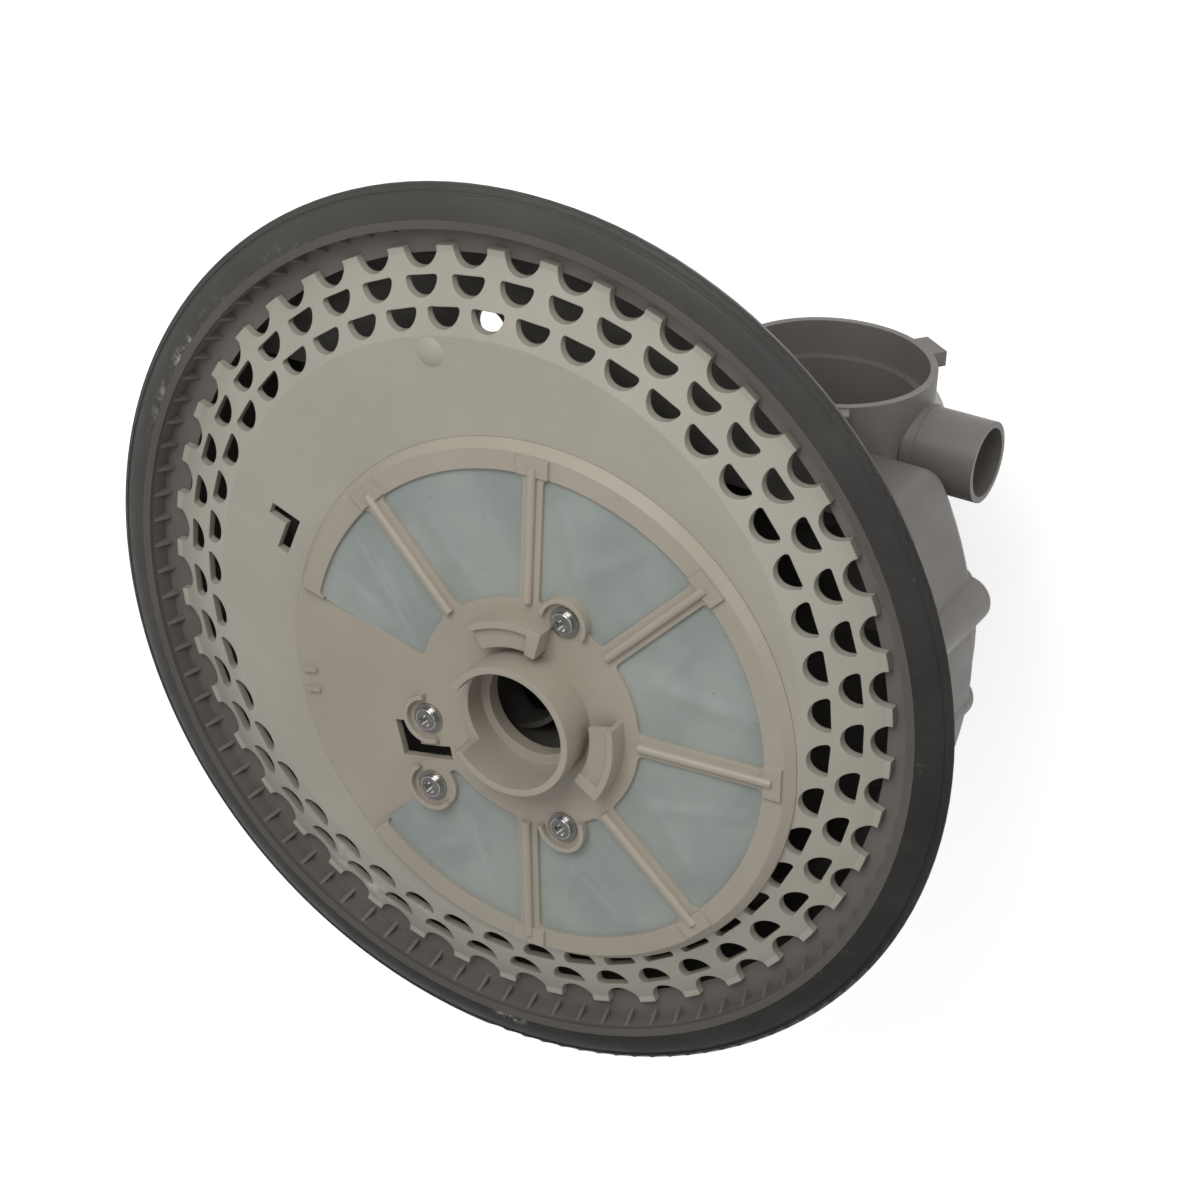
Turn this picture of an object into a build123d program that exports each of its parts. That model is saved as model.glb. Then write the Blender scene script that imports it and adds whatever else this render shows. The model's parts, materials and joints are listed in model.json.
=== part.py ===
from build123d import *
import os
from math import acos, cos, degrees, radians, sin, sqrt

# Dishwasher sump with filter, wash pump and motor, in millimetres.
# Origin: centre of the tub opening, on the plane where the rim seal sits. +Z is up, out of the tub floor.
os.makedirs("parts", exist_ok=True)

# Cutters pass the faces they open by this much
OVERCUT = 1.0

# Rim and seal
RIM_R = 139.5
RIM_WALL = 2.8
RIM_TOP_Z = 8.1
FLANGE_W = 6.5
FLANGE_Z = 2.3
FLANGE_T = 2.2
GUSSETS_PER_TOOTH = 2
GUSSET_REACH = 3.0
GUSSET_T = 1.3
GUSSET_DROP = 2.2
GUSSET_ROOT = 0.5
SEAL_COVER = 4.0
SEAL_EDGE_Z = 3.2
SEAL_EDGE_ROUND = 1.3
SEAL_SEAT_IN = 1.7
SEAL_UNDERCUT = 1.6
SEAL_CROWN = 0.7
SEAL_LIPS = 2
SEAL_LIP_H = 0.7
SEAL_LIP_W = 0.9
SEAL_LIP_ROOT = 0.5
SEAL_LIP_IN = 0.3
SEAL_LIP_GAP = 1.5
SEAL_FIT = 0.05

# Coarse filter plate
PLATE_TOP_Z = 2.6
PLATE_T = 3.0
PLATE_GAP = 6.8
PLATE_LAND = 2.1
DOME_IN = 25.4
DOME_RISE = 9.1
TEETH = 45
TOOTH_PHASE = 102.4
NOTCH_IN = 0.3
NOTCH_R = 6.05
OUTER_ROW_IN = 8.9
ROW_STEP = 9.0
D_HOLE_R = 5.8
D_FLAT = 0.6
D_CORNER = 1.1
HOLE_WEB = 1.6
LEDGE_T = 3.0
BUMP_IN = 12.6
BUMP_AT = 105.6
BUMP_R = 4.8
BUMP_H = 1.6
TAB_SLOT_IN = 28.1
TAB_SLOT_AT = 163.2
TAB_SLOT_L = 11.0
TAB_SLOT_W = 4.2
TAB_SLOT_LEG = 14.0
TAB_SLOT_TURN = -20.0

# Pump axis, parallel to Z
PUMP_X = 14.2
PUMP_Y = -14.1

# Sump drum, lower bowl and their flat sides
WALL = 3.0
DRUM_IN = 9.5
DRUM_FLOOR_Z = -60.0
DRUM_FLAT_Y = 66.0
DRUM_CORNER = 9.0
DRUM_EDGE = 5.0
SHELF_Z = -22.0
BOWL_X = 9.0
BOWL_Y = -20.4
BOWL_IN = 28.0
BOWL_FLOOR_Z = -112.0
BOWL_FLAT_Y = 28.0
BOWL_STEP_IN = 23.0
BOWL_STEP_Y = 8.0
BOWL_CORNER = 7.0
BOWL_EDGE = 6.5
PORT_AT = (-24.6, 92.9)
PORT_R = 5.6
PORT_WALL = 2.5
PORT_COLLAR = 1.0
SIDE_BOSSES = ((126.5, 11.0), (122.5, -5.0))
SIDE_BOSS_R = 8.0
SIDE_BOSS_TOP_Z = -16.0

# Drain pump socket, along Y, and hose nozzle, along X
SOCKET_X = 64.0
SOCKET_Z = -79.0
SOCKET_FACE_Y = 81.5
SOCKET_R = 31.0
SOCKET_WALL = 2.4
SOCKET_DEPTH = 12.0
SOCKET_STEP = 2.2
SOCKET_CUP = 38.0
SOCKET_LUGS = (65.0, 185.0, 305.0)
LUG_REACH = 5.0
LUG_W = 12.0
LUG_T = 5.0
LUG_SET_BACK = 0.4
DUCT_R = 15.0
NOZZLE_R = 13.0
NOZZLE_WALL = 2.0
NOZZLE_ROOT_R = 13.5
NOZZLE_ROOT_X = 99.0
NOZZLE_END_X = 119.0
NOZZLE_Y = 61.5

# Fine filter frame, round the pump axis
RING_BASE_R = 90.0
RING_LAP = 6.6
RING_BEVEL = 2.7
RING_W = 6.6
RING_H = 3.4
RING_SKIRT = 2.8
SPIGOT_FIT = 0.3
SPIGOT_T = 2.0
HUB_R = 39.2
HUB_H = 5.8
FRAME_T = 2.8
WINDOW_ROUND = 2.2
RIB_COUNT = 6
RIB_PITCH = 45.0
RIB_FIRST = -88.6
RIB_STRIP_W = 7.0
RIB_W = 2.8
RIB_H = 2.2
PANEL_MID = 198.5
PANEL_SPAN = 60.0
PANEL_EDGE = 0.5
RIB_SINK = 0.5
PAD_W = 11.0
PAD_H = 0.9
PAD_L = 6.0
TUBE_R = 22.05
TUBE_WALL = 2.3
TUBE_H = 13.9
TUBE_STEP = 3.0
TUBE_STEP_DROP = 4.4
TUBE_FOOT_DROP = 9.4
TUBE_SLOT_AT = 186.0
TUBE_SLOT_W = 22.0
TUBE_SLOT_RISE = 3.6
HOOK_AT = (100.0, -10.0)
HOOK_SPAN = 46.0
HOOK_R = 34.25
HOOK_T = 2.2
HOOK_LIP = 7.0
HOOK_LIP_T = 2.0
HOOK_LIP_DROP = 1.8
HOOK_H = 7.5
HOOK_STOP_SPAN = 8.0
KEY_HOLE_AT = (-48.6, -12.4)
KEY_HOLE_L = 8.4
KEY_HOLE_W = 12.7
KEY_SLOT_L = 11.6
KEY_SLOT_W = 4.8
KEY_TURN = 15.0
BAR_IN = 2.4
BAR_TURN = -7.0
BAR_L = 5.0
BAR_W = 1.5
BAR_H = 1.3
BAR_GAP = 7.0
MESH_T = 0.5
MESH_DROP = 1.1

# Filter screws: radius and angle round the pump axis
FILTER_SCREWS = ((38.0, 71.8), (38.5, -159.4), (50.9, -131.9), (39.5, -69.2))
SCREW_R = 2.0
SCREW_HOLE_FIT = 0.15
SCREW_BITE = 10.0
HEAD_R = 3.7
HEAD_H = 2.4
HEAD_WASHER_R = 5.0
HEAD_WASHER_T = 1.0
RECESS_R = 1.7
RECESS_LOBES = 6
RECESS_LOBE_R = 0.55
RECESS_DEPTH = 1.6
COLLAR_R = 8.4
COLLAR_T = 1.5
COLLAR_H = 2.2
COLLAR_SPAN = 200.0

# Wash pump
PUMP_R = 33.0
PUMP_WALL = 2.5
PUMP_NECK_Z = -21.0
VOLUTE_R = 41.0
VOLUTE_Z = -53.0
INLET_R = 18.0
BOSS_R = 4.6
BOSS_FIT = 0.3
BOSS_FOOT = 3.0
WEB_DROP = 2.0
WEB_W = 5.0
LEG_COUNT = 4
LEG_FIRST = 45.0
LEG_R = 4.0
LEG_INSET = 1.5
DIFFUSER_H = 22.0
DIFFUSER_DROP = 4.0
DIFFUSER_TIP_R = 2.0
DIFFUSER_CORE_R = 15.0
DIFFUSER_VANES = 7
DIFFUSER_VANE_T = 1.8
DIFFUSER_RING_T = 2.0
DIFFUSER_FIT = 0.1
IMPELLER_R = 30.0
IMPELLER_Z = -49.0
IMPELLER_VANES = 6
IMPELLER_VANE_T = 2.0
IMPELLER_VANE_H = 9.0
IMPELLER_DISC_T = 2.2
IMPELLER_HUB_R = 9.0
IMPELLER_HUB_RISE = 3.0
IMPELLER_TIP_GAP = 1.0
IMPELLER_EYE_R = 13.0
VANE_SWEEP = 55.0
NUT_ACROSS = 10.0
NUT_H = 4.5
CHOPPER_R = 24.0
CHOPPER_T = 1.0
CHOPPER_HOLE_R = 1.6
CHOPPER_RINGS = ((9.5, 10), (14.0, 16))
CHOPPER_SHAFT_HOLE_R = 6.0
BLADE_L = 17.0
BLADE_W = 7.0
BLADE_HUB_R = 8.0
BLADE_T = 1.2
BLADE_GAP = 1.0
SLEEVE_GAP = 0.6

# Shaft seal in the bowl floor
SEAT_HOLE_R = 14.0
SEAT_FIT = 0.05
SEAT_LIP_R = 17.0
SEAT_LIP_T = 2.0
SEAT_FACE_Z = -101.0
SEAT_BORE_GAP = 0.8
SEAL_RING_R = 11.0
SEAL_RING_H = 8.0
SEAL_FACE_GAP = 0.1

# Motor
GASKET_R = 35.0
GASKET_W = 5.0
GASKET_T = 1.5
MOTOR_W = 96.0
MOTOR_CORNER = 18.0
BRACKET_PLATE_T = 4.0
BRACKET_SKIRT_H = 12.0
BRACKET_WALL = 4.0
BRACKET_VENTS = 4
VENT_L = 26.0
VENT_W = 7.0
STATOR_H = 30.0
LOWER_BAY = 21.0
ROTOR_R = 27.0
AIR_GAP = 0.5
ROTOR_END_R = 25.0
ROTOR_END_H = 4.0
SLOT_COUNT = 12
SLOT_W = 7.0
SLOT_DEPTH = 13.0
TOOTH_TIP = 2.5
COIL_RISE = 8.0
COIL_LIFT = 0.3
COIL_ROUND = 2.5
SLOT_LINER = 0.6
SLOT_SLACK = 2.0
SHAFT_R = 4.0
SHAFT_FIT = 0.02
SHAFT_STUB = 4.0
SHAFT_END_GAP = 0.5
SHAFT_CHAMFER = 0.6
BEARING_R = 11.0
BEARING_W = 7.0
RACE_GROOVE = 0.7
RACE_W = 2.1
POCKET_WALL = 3.0
POCKET_FIT = 0.02
SPACER_R = 6.5
SPACER_GAP = 0.2
BOLT_INSET = 8.5
BOLT_R = 2.1
BOLT_HOLE_FIT = 0.2
BOLT_HEAD_R = 3.8
BOLT_HEAD_H = 3.0
BOLT_SINK = 1.0
BOLT_SLOT = 1.2
POST_TRIM = 1.0
EAR_ANGLES = (0.0, 180.0, 270.0)
EAR_OUT = 9.0
EAR_R = 7.0
EAR_T = 5.0
EAR_BOSS_R = 6.0
EAR_SCREW_R = 2.5
EAR_SCREW_BITE = 9.0
EAR_HEAD_R = 5.0
EAR_HEAD_H = 3.5
TERMINAL_L = 32.0
TERMINAL_W = 12.0
TERMINAL_H = 11.0
TERMINAL_WALL = 1.6
TERMINAL_FLOOR = 3.0
TERMINAL_CORNER = 2.0
BLADE_PINS = 3
BLADE_PIN_W = 6.3
BLADE_PIN_T = 0.8
BLADE_PIN_OUT = 7.0
BLADE_PIN_IN = 2.0
BLADE_PIN_PITCH = 10.0

# Worked out from the sizes above
FLANGE_R = RIM_R + FLANGE_W
SEAL_R = FLANGE_R + SEAL_COVER
SEAL_SEAT_IN_R = RIM_R + SEAL_SEAT_IN
SEAL_SEAT_OUT_R = SEAL_R - SEAL_UNDERCUT
PLATE_R = RIM_R - RIM_WALL - PLATE_GAP
NOTCH_PITCH_R = PLATE_R - NOTCH_IN
LAND_R = PLATE_R - PLATE_LAND
DOME_R = PLATE_R - DOME_IN
OUTER_ROW_R = PLATE_R - OUTER_ROW_IN
INNER_ROW_R = OUTER_ROW_R - ROW_STEP
DRUM_R = RIM_R - DRUM_IN
LEDGE_IN_R = DRUM_R - WALL
BOWL_R = DRUM_R - BOWL_IN
BOWL_STEP_X = BOWL_X + BOWL_R - BOWL_STEP_IN
RING_TOP_R = RING_BASE_R - RING_BEVEL
WINDOW_R = RING_TOP_R - RING_W
PLATE_OPENING_R = RING_BASE_R - RING_LAP
BAR_R = RING_TOP_R - BAR_IN
TOOTH_PITCH = 360.0 / TEETH
LEDGE_Z = PLATE_TOP_Z - PLATE_T
FLOOR_Z = PLATE_TOP_Z + DOME_RISE
SPIGOT_Z = FLOOR_Z - PLATE_T
RING_TOP_Z = FLOOR_Z + RING_H
HUB_Z = FLOOR_Z + HUB_H
TUBE_TOP_Z = HUB_Z + TUBE_H
TUBE_STEP_Z = HUB_Z - TUBE_STEP_DROP
TUBE_FOOT_Z = HUB_Z - TUBE_FOOT_DROP
TUBE_SLOT_Z = HUB_Z + TUBE_SLOT_RISE
FRAME_SEAT_Z = HUB_Z - FRAME_T
CONE_SLOPE = (RING_TOP_Z - HUB_Z) / (RING_TOP_R - HUB_R)
PANEL_SLOPE = (FLOOR_Z + PANEL_EDGE - HUB_Z) / (RING_BASE_R - HUB_R)
TUBE_BORE_R = TUBE_R - TUBE_WALL
STEP_BORE_R = TUBE_BORE_R - TUBE_STEP
BOWL_INNER_Z = BOWL_FLOOR_Z + WALL
CHOPPER_Z = VOLUTE_Z - CHOPPER_T
BLADE_Z = CHOPPER_Z - BLADE_GAP - BLADE_T
IMPELLER_TOP_Z = IMPELLER_Z + IMPELLER_VANE_H + IMPELLER_DISC_T
NUT_Z = IMPELLER_TOP_Z + IMPELLER_HUB_RISE
SHAFT_TOP_Z = NUT_Z + NUT_H
MOTOR_TOP_Z = BOWL_FLOOR_Z - GASKET_T
STATOR_TOP_Z = MOTOR_TOP_Z - BRACKET_PLATE_T - BRACKET_SKIRT_H
STATOR_BASE_Z = STATOR_TOP_Z - STATOR_H
MOTOR_BASE_Z = STATOR_BASE_Z - LOWER_BAY - BRACKET_PLATE_T
UPPER_BEARING_Z = MOTOR_TOP_Z - BRACKET_PLATE_T - BEARING_W
LOWER_BEARING_Z = MOTOR_BASE_Z + BRACKET_PLATE_T
BOLT_XY = MOTOR_W / 2 - BOLT_INSET
EAR_XY = MOTOR_W / 2 + EAR_OUT


# Shared shapes
def polar(radius, angle):
    """Point at a radius and an angle in degrees."""
    return (radius * cos(radians(angle)), radius * sin(radians(angle)))


def at_pump(shape):
    """Moves a shape drawn round Z to the pump axis."""
    return Pos(PUMP_X, PUMP_Y, 0) * shape


def rod(radius, z_low, z_high):
    """Round bar standing on z_low."""
    align = (Align.CENTER, Align.CENTER, Align.MIN)
    return Pos(0, 0, z_low) * Cylinder(radius, z_high - z_low, align=align)


def tube(inner, outer, z_low, z_high):
    """Round tube standing on z_low."""
    return rod(outer, z_low, z_high) - rod(inner, z_low - OVERCUT, z_high + OVERCUT)


def block(length, width, z_low, z_high):
    """Upright block, centred in plan."""
    align = (Align.CENTER, Align.CENTER, Align.MIN)
    return Pos(0, 0, z_low) * Box(length, width, z_high - z_low, align=align)


def turned(points):
    """Solid of revolution round Z from radius and height pairs."""
    return revolve(Plane.XZ * make_face(Polyline(*points, close=True)), Axis.Z)


def raised(sketch, z_low, z_high):
    """Extrudes a plan sketch between two heights."""
    return extrude(Pos(0, 0, z_low) * sketch, amount=z_high - z_low)


def wedge(reach, middle, span, z_low, z_high):
    """Upright wedge from the Z axis out, span degrees wide round its middle angle."""
    half = span / 2
    plan = Polygon((0, 0), polar(reach, -half), polar(reach, 0), polar(reach, half), align=None)
    return Rot(0, 0, middle) * raised(plan, z_low - OVERCUT, z_high + OVERCUT)


def arc_wall(inner, outer, middle, span, z_low, z_high):
    """Piece of a tube wall, span degrees long round its middle angle."""
    return tube(inner, outer, z_low, z_high) & wedge(outer * 3, middle, span, z_low, z_high)


def save(node, shape):
    """Writes one node."""
    export_step(shape, f"parts/{node}.step")


# Sump housing
def flat_sided(body, low, flat_y, flat_top, start_x):
    """Cuts a flat side across +Y into the lower part of a round body, from start_x on."""
    size = 8 * DRUM_R
    beyond = Box(size, size, flat_top - low + OVERCUT, align=(Align.MIN, Align.MIN, Align.MIN))
    return body - Pos(start_x, flat_y, low - OVERCUT) * beyond


def rounded(body, corner, edge, *sides):
    """Rounds the upright corners that lie on the given flat sides, then the bottom edge."""
    upright = body.edges().filter_by(Axis.Z)
    corners = upright.filter_by(lambda line: any(abs(line.center().Y - y) < 0.01 for y in sides))
    body = fillet(corners, corner)
    return fillet(body.edges().group_by(Axis.Z)[0], edge)


def drum(inset):
    """Upper sump body, or its hollow when inset by the wall."""
    low, flat_y = DRUM_FLOOR_Z + inset, DRUM_FLAT_Y - inset
    body = flat_sided(rod(DRUM_R - inset, low, LEDGE_Z), low, flat_y, SHELF_Z + inset, -2 * DRUM_R)
    return rounded(body, DRUM_CORNER - inset, DRUM_EDGE - inset, flat_y)


def bowl(inset, top):
    """Lower sump body, or its hollow."""
    low, flat_y, step_y = BOWL_FLOOR_Z + inset, BOWL_FLAT_Y - inset, BOWL_STEP_Y - inset
    body = Pos(BOWL_X, BOWL_Y, 0) * rod(BOWL_R - inset, low, top)
    body = flat_sided(body, low, flat_y, top + OVERCUT, -2 * DRUM_R)
    body = flat_sided(body, low, step_y, top + OVERCUT, BOWL_STEP_X - inset)
    return rounded(body, BOWL_CORNER - inset, BOWL_EDGE - inset, flat_y, step_y)


def along_y(shape):
    """Turns a shape drawn along Z so that it runs from the socket face into the sump."""
    return Pos(SOCKET_X, SOCKET_FACE_Y, SOCKET_Z) * Rot(90, 0, 0) * shape


def along_x(shape):
    """Turns a shape drawn along Z so that it runs from the socket axis out through the nozzle."""
    return Pos(SOCKET_X, NOZZLE_Y, SOCKET_Z) * Rot(0, 90, 0) * shape


def socket_lug(angle):
    """Bayonet lug on the rim of the drain pump socket."""
    outer = SOCKET_R + SOCKET_WALL
    lug = block(LUG_REACH + SOCKET_WALL, LUG_W, LUG_SET_BACK, LUG_SET_BACK + LUG_T)
    return along_y(Rot(0, 0, angle) * Pos(outer + (LUG_REACH - SOCKET_WALL) / 2, 0, 0) * lug)


def rim():
    """Rim wall, plate ledge and seal flange as one section."""
    return turned([
        (LEDGE_IN_R, LEDGE_Z), (RIM_R - RIM_WALL, LEDGE_Z), (RIM_R - RIM_WALL, RIM_TOP_Z),
        (RIM_R, RIM_TOP_Z), (RIM_R, FLANGE_Z + FLANGE_T), (FLANGE_R, FLANGE_Z + FLANGE_T),
        (FLANGE_R, FLANGE_Z), (RIM_R, FLANGE_Z), (RIM_R, LEDGE_Z - LEDGE_T),
        (DRUM_R, LEDGE_Z - LEDGE_T - DRUM_IN), (LEDGE_IN_R, LEDGE_Z - LEDGE_T - DRUM_IN),
    ])


def gussets():
    """Small sloped fins inside the rim wall."""
    wall = RIM_R - RIM_WALL
    root, tip = wall + GUSSET_ROOT, wall - GUSSET_REACH
    high = RIM_TOP_Z - GUSSET_DROP
    side = Polyline((root, LEDGE_Z), (root, high), (wall, high), (tip, LEDGE_Z), close=True)
    fin = extrude(Plane.XZ * make_face(side), amount=GUSSET_T / 2, both=True)
    count = TEETH * GUSSETS_PER_TOOTH
    return [Rot(0, 0, TOOTH_PHASE + i * 360 / count) * fin for i in range(count)]


def ear_places():
    """Motor screws, one beyond the middle of each motor side that has an ear."""
    return [Pos(PUMP_X, PUMP_Y, 0) * Rot(0, 0, angle) * Pos(EAR_XY, 0, 0) for angle in EAR_ANGLES]


def sump_housing():
    """The whole sump moulding."""
    socket_out = along_y(rod(SOCKET_R + SOCKET_WALL, 0, SOCKET_CUP + SOCKET_WALL))
    duct_reach = SOCKET_FACE_Y - BOWL_FLAT_Y + WALL
    duct_out = along_y(rod(DUCT_R + SOCKET_WALL, SOCKET_CUP, duct_reach))
    nozzle_out = along_x(rod(NOZZLE_R, SOCKET_R, NOZZLE_END_X - SOCKET_X))
    port_out = Pos(*PORT_AT, 0) * rod(PORT_R + PORT_WALL, SHELF_Z - PORT_COLLAR, SHELF_Z + WALL)
    nozzle_out += along_x(rod(NOZZLE_ROOT_R, SOCKET_R, NOZZLE_ROOT_X - SOCKET_X))
    body = drum(0) + bowl(0, DRUM_FLOOR_Z + DRUM_EDGE) + socket_out + duct_out + nozzle_out + port_out
    body += [socket_lug(angle) for angle in SOCKET_LUGS]
    side_boss = rod(SIDE_BOSS_R, DRUM_FLOOR_Z, SIDE_BOSS_TOP_Z)
    body += [Pos(*polar(radius, angle), 0) * side_boss for radius, angle in SIDE_BOSSES]
    body -= drum(WALL) - socket_out
    body -= bowl(WALL, DRUM_FLOOR_Z + DRUM_EDGE + OVERCUT) - socket_out - duct_out
    body -= along_y(rod(SOCKET_R, -OVERCUT, SOCKET_DEPTH))
    body -= along_y(rod(SOCKET_R - SOCKET_STEP, 0, SOCKET_CUP))
    body -= along_y(rod(DUCT_R, 0, duct_reach + OVERCUT))
    body -= along_x(rod(NOZZLE_R - NOZZLE_WALL, 0, NOZZLE_END_X - SOCKET_X + OVERCUT))
    body -= Pos(*PORT_AT, 0) * rod(PORT_R, SHELF_Z - PORT_COLLAR - OVERCUT, SHELF_Z + WALL + OVERCUT)
    body += rim()
    body += gussets()
    boss = rod(EAR_BOSS_R, BOWL_FLOOR_Z, BOWL_INNER_Z + EAR_SCREW_BITE)
    pilot = rod(EAR_SCREW_R, BOWL_FLOOR_Z - OVERCUT, BOWL_FLOOR_Z + EAR_SCREW_BITE)
    body += [place * boss for place in ear_places()]
    body -= [place * pilot for place in ear_places()]
    return body - at_pump(rod(SEAT_HOLE_R, BOWL_FLOOR_Z - OVERCUT, BOWL_INNER_Z + OVERCUT))


# Rim seal
def rim_seal():
    """Rubber section that wraps the rim flange and slopes down to its lip."""
    inner = RIM_R + SEAL_FIT
    top = FLANGE_Z + FLANGE_T + SEAL_FIT
    lip_r = SEAL_R - SEAL_EDGE_ROUND
    lip_z = SEAL_EDGE_Z + SEAL_EDGE_ROUND
    middle = ((inner + lip_r) / 2, (RIM_TOP_Z + lip_z) / 2 + SEAL_CROWN)
    outline = [
        ThreePointArc((inner, RIM_TOP_Z), middle, (lip_r, lip_z)),
        RadiusArc((lip_r, lip_z), (SEAL_R, SEAL_EDGE_Z), SEAL_EDGE_ROUND),
        Polyline(
            (SEAL_R, SEAL_EDGE_Z), (SEAL_SEAT_OUT_R, 0), (SEAL_SEAT_IN_R, 0),
            (SEAL_SEAT_IN_R, FLANGE_Z - SEAL_FIT), (FLANGE_R + SEAL_FIT, FLANGE_Z - SEAL_FIT),
            (FLANGE_R + SEAL_FIT, top), (inner, top), (inner, RIM_TOP_Z),
        ),
    ]
    band = revolve(Plane.XZ * make_face(outline), Axis.Z)
    slope = (RIM_TOP_Z - lip_z) / (lip_r - inner)
    for i in range(SEAL_LIPS):
        r = lip_r - SEAL_LIP_IN - i * SEAL_LIP_GAP
        z = lip_z + (lip_r - r) * slope
        low = z - SEAL_LIP_ROOT
        band += turned([(r - SEAL_LIP_W, low), (r, low), (r - SEAL_LIP_W / 2, z + SEAL_LIP_H)])
    return band


# Coarse filter plate
def plate_outline():
    """Toothed rim: a round notch between each pair of teeth."""
    r, n = PLATE_R, NOTCH_PITCH_R
    half = degrees(acos((r * r + n * n - NOTCH_R * NOTCH_R) / (2 * r * n)))
    edges = []
    for i in range(TEETH):
        notch = TOOTH_PHASE + (i + 0.5) * TOOTH_PITCH
        start, end = polar(r, notch - half), polar(r, notch + half)
        edges.append(ThreePointArc(start, polar(n - NOTCH_R, notch), end))
        tooth = notch + TOOTH_PITCH / 2
        edges.append(ThreePointArc(end, polar(r, tooth), polar(r, notch + TOOTH_PITCH - half)))
    return Wire(edges)


def d_hole():
    """Round hole with a flat on its outer side, drawn with that side towards +X."""
    reach = 4 * D_HOLE_R
    shape = Circle(D_HOLE_R) & (Pos(D_FLAT, 0) * Rectangle(reach, reach, align=(Align.MAX, Align.CENTER)))
    return fillet(shape.vertices(), D_CORNER)


def hole_rows():
    """Two rows of D holes, in step with the notches and with the teeth."""
    wires = []
    for row, shift in ((OUTER_ROW_R, 0.5), (INNER_ROW_R, 0.0)):
        for i in range(TEETH):
            angle = TOOTH_PHASE + (i + shift) * TOOTH_PITCH
            x, y = polar(row, angle)
            room = sqrt((x - PUMP_X) ** 2 + (y - PUMP_Y) ** 2) - PLATE_OPENING_R
            if room > D_HOLE_R + HOLE_WEB:
                wires.append((Pos(x, y) * Rot(0, 0, angle) * d_hole()).face().outer_wire())
    return wires


def plate_shell():
    """Section of the plate: a land on the ledge, a cone and the flat floor that it carries."""
    edge = PLATE_R + OVERCUT
    return turned([
        (0, SPIGOT_Z), (DOME_R, SPIGOT_Z), (LAND_R, LEDGE_Z), (edge, LEDGE_Z),
        (edge, PLATE_TOP_Z), (LAND_R, PLATE_TOP_Z), (DOME_R, FLOOR_Z), (0, FLOOR_Z),
    ])


def coarse_filter_plate():
    """Perforated plate, open under the fine filter."""
    opening = at_pump(Circle(PLATE_OPENING_R)).face().outer_wire()
    sheet = Face(plate_outline(), [opening] + hole_rows())
    low, high = LEDGE_Z - OVERCUT, FLOOR_Z + OVERCUT
    plate = raised(sheet, low, high) & plate_shell()
    ball_r = (BUMP_R * BUMP_R + BUMP_H * BUMP_H) / (2 * BUMP_H)
    ball = Pos(0, 0, FLOOR_Z + BUMP_H - ball_r) * Sphere(ball_r)
    bump = ball & rod(ball_r, FLOOR_Z - PLATE_T / 2, FLOOR_Z + BUMP_H)
    plate += Pos(*polar(INNER_ROW_R - BUMP_IN, BUMP_AT), 0) * bump
    corner = ((TAB_SLOT_L - TAB_SLOT_W) / 2, (TAB_SLOT_W - TAB_SLOT_LEG) / 2, 0)
    leg = Pos(*corner) * block(TAB_SLOT_W, TAB_SLOT_LEG, low, high)
    tab_slot = block(TAB_SLOT_L, TAB_SLOT_W, low, high) + leg
    slot_at = Pos(*polar(INNER_ROW_R - TAB_SLOT_IN, TAB_SLOT_AT), 0)
    return plate - slot_at * Rot(0, 0, TAB_SLOT_TURN) * tab_slot


# Fine filter
def cone_z(radius):
    """Height of the frame's upper face, which falls from the hub to the ring."""
    return HUB_Z + (radius - HUB_R) * CONE_SLOPE


def rib_angles():
    """Directions of the ribs round the pump axis."""
    return [RIB_FIRST + i * RIB_PITCH for i in range(RIB_COUNT)]


def screw_places():
    """Filter screw axes round the pump axis."""
    return [Pos(*polar(radius, angle), 0) for radius, angle in FILTER_SCREWS]


def panel_z(radius):
    """Height of the solid panel, which falls to the plate at its outer edge."""
    return HUB_Z + (radius - HUB_R) * PANEL_SLOPE


def window_plan(collar_r):
    """Open windows between the hub, the ring, the ribs, the solid panel and the screw pads."""
    plan = Circle(WINDOW_R) - Circle(HUB_R)
    reach = WINDOW_R * 2
    half = PANEL_SPAN / 2
    strip = Rectangle(reach, RIB_STRIP_W, align=(Align.MIN, Align.CENTER))
    sector = Polygon((0, 0), polar(reach, -half), polar(reach, 0), polar(reach, half), align=None)
    plan -= [Rot(0, 0, angle) * strip for angle in rib_angles()]
    plan -= Rot(0, 0, PANEL_MID) * sector
    plan = fillet(plan.vertices(), WINDOW_ROUND)
    return plan - [place * Circle(collar_r) for place in screw_places()]


def conical_sheet(inner, outer, drop, thickness):
    """Sheet that follows the frame's slope, a given drop below its upper face."""
    return turned([
        (inner, cone_z(inner) - drop), (outer, cone_z(outer) - drop),
        (outer, cone_z(outer) - drop - thickness), (inner, cone_z(inner) - drop - thickness),
    ])


def rib(angle):
    """Round-topped bar on a rib, with the pad where it meets the ring."""
    bar_l = WINDOW_R + PAD_L / 2 - HUB_R
    tilt = degrees(-CONE_SLOPE)
    profile = Pos(0, RIB_H / 2 - RIB_SINK) * RectangleRounded(RIB_W, RIB_H + 2 * RIB_SINK, RIB_W * 0.49)
    bar = extrude(Plane.YZ * profile, amount=bar_l)
    pad = block(PAD_L, PAD_W, cone_z(RING_TOP_R) - OVERCUT, cone_z(WINDOW_R) + PAD_H)
    pad_x = RING_TOP_R - PAD_L / 2 - RIB_SINK
    return Rot(0, 0, angle) * (Pos(HUB_R, 0, HUB_Z) * Rot(0, tilt, 0) * bar + Pos(pad_x, 0, 0) * pad)


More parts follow.
